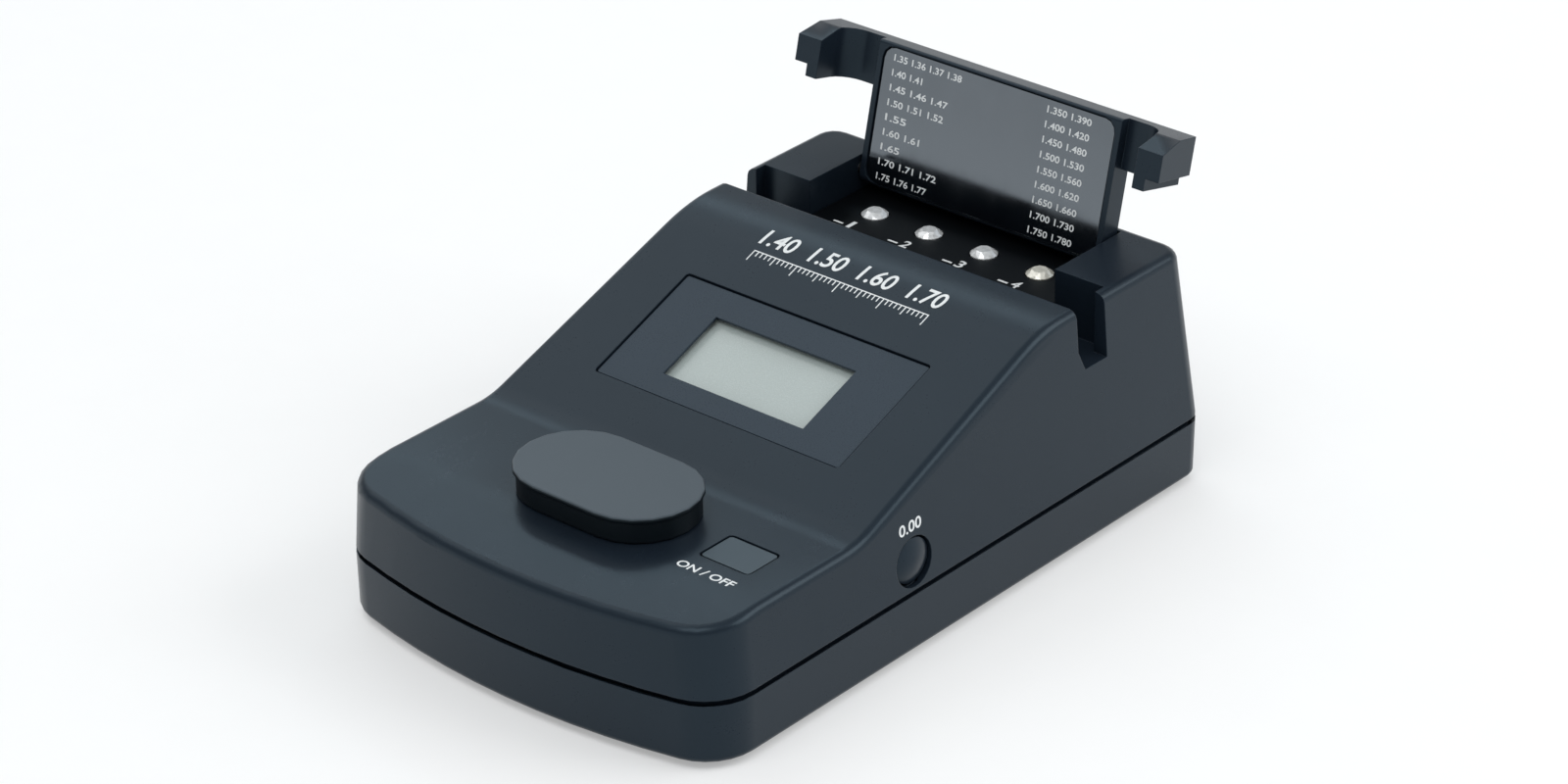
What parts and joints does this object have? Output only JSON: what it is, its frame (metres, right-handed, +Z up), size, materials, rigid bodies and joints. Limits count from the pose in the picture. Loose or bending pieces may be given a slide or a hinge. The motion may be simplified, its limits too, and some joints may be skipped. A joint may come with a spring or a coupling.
{
  "type": "electronic refractometer",
  "caption": "Bench meter with a sloping display panel, an oval light shield over its measuring plate, a stone well behind the crest and a T-shaped lid hinged at the rear.",
  "frame": {"origin": "centre of the standing footprint, on the plane under the rubber feet", "axes": "+Z up, +Y towards the lid's hinge at the rear, +X towards the side with the round button"},
  "size_m": [0.084, 0.1332, 0.066],
  "materials": {
    "case_plastic": "fine matt moulded texture",
    "panel_plastic": "smooth satin",
    "black_plastic": "fine matt",
    "label_gloss": "glossy printed plate",
    "lcd_face": "smooth display glass with a grey reflector behind it",
    "white_plastic": "plain moulded",
    "circuit_board": "solder mask",
    "steel": "turned and plated",
    "window_glass": "polished",
    "stone": "polished facets",
    "led_lens": "cast clear resin with a dark tint",
    "rubber": "matt",
    "cell_wrap": "plain printed wrap over a metal can",
    "ribbon": "flat insulated ribbon"
  },
  "bodies": {
    "housing": {"aperture_window": "window_glass", "battery_1": "cell_wrap", "battery_2": "cell_wrap", "battery_3": "cell_wrap", "battery_contacts_front": "steel", "battery_contacts_rear": "steel", "board_screw_1": "steel", "board_screw_2": "steel", "board_screw_3": "steel", "board_screw_4": "steel", "buzzer": "black_plastic", "calibration_board": "circuit_board", "calibration_switch": "black_plastic", "case_screw_1": "steel", "case_screw_2": "steel", "case_screw_3": "steel", "case_screw_4": "steel", "controller_chip": "black_plastic", "display_board": "circuit_board", "display_panel": "panel_plastic", "display_screw_1": "steel", "display_screw_2": "steel", "display_screw_3": "steel", "display_screw_4": "steel", "infrared_led": "led_lens", "lcd_glass": "lcd_face", "lcd_holder": "white_plastic", "lower_case": "case_plastic", "main_board": "circuit_board", "measuring_plate": "steel", "optics_block": "black_plastic", "photodetector": "led_lens", "power_switch": "black_plastic", "reference_stone_1": "stone", "reference_stone_2": "stone", "reference_stone_3": "stone", "reference_stone_4": "stone", "ribbon_cable": "ribbon", "ribbon_socket": "white_plastic", "rubber_foot_1": "rubber", "rubber_foot_2": "rubber", "rubber_foot_3": "rubber", "rubber_foot_4": "rubber", "stone_tray": "black_plastic", "upper_case": "case_plastic"},
    "lid": {"lid": "case_plastic", "lid_label": "label_gloss", "hinge_pin_left": "steel", "hinge_pin_right": "steel"},
    "power_button": {"power_button": "panel_plastic", "power_switch_stem": "white_plastic"},
    "calibration_button": {"calibration_button": "case_plastic", "calibration_switch_stem": "white_plastic"},
    "shield_post": {"shield_post": "steel", "shield_clip": "steel"},
    "light_shield": {"light_shield": "case_plastic"},
    "battery_door": {"battery_door": "case_plastic"}
  },
  "joints": [
    {"name": "lid_hinge", "type": "hinge", "parent": "housing", "child": "lid", "pos_m": [0, 0.0571, 0.0421], "axis": [1, 0, 0], "range_deg": [0, 103.7]},
    {"name": "power_button_press", "type": "slide", "parent": "housing", "child": "power_button", "axis": [0, 0, -1], "range_m": [0, 0.0008], "stiffness_N_per_m": 1500},
    {"name": "calibration_button_press", "type": "slide", "parent": "housing", "child": "calibration_button", "axis": [-1, 0, 0], "range_m": [0, 0.0007], "stiffness_N_per_m": 1500},
    {"name": "shield_lift", "type": "slide", "parent": "housing", "child": "shield_post", "axis": [0, 0, 1], "range_m": [0, 0.005]},
    {"name": "shield_swing", "type": "hinge", "parent": "shield_post", "child": "light_shield", "pos_m": [-0.0067, -0.04, 0.027], "axis": [0, 0, -1], "range_deg": [0, 180]},
    {"name": "battery_door_slide", "type": "slide", "parent": "housing", "child": "battery_door", "axis": [0, 1, 0], "range_m": [0, 0.05]}
  ]
}
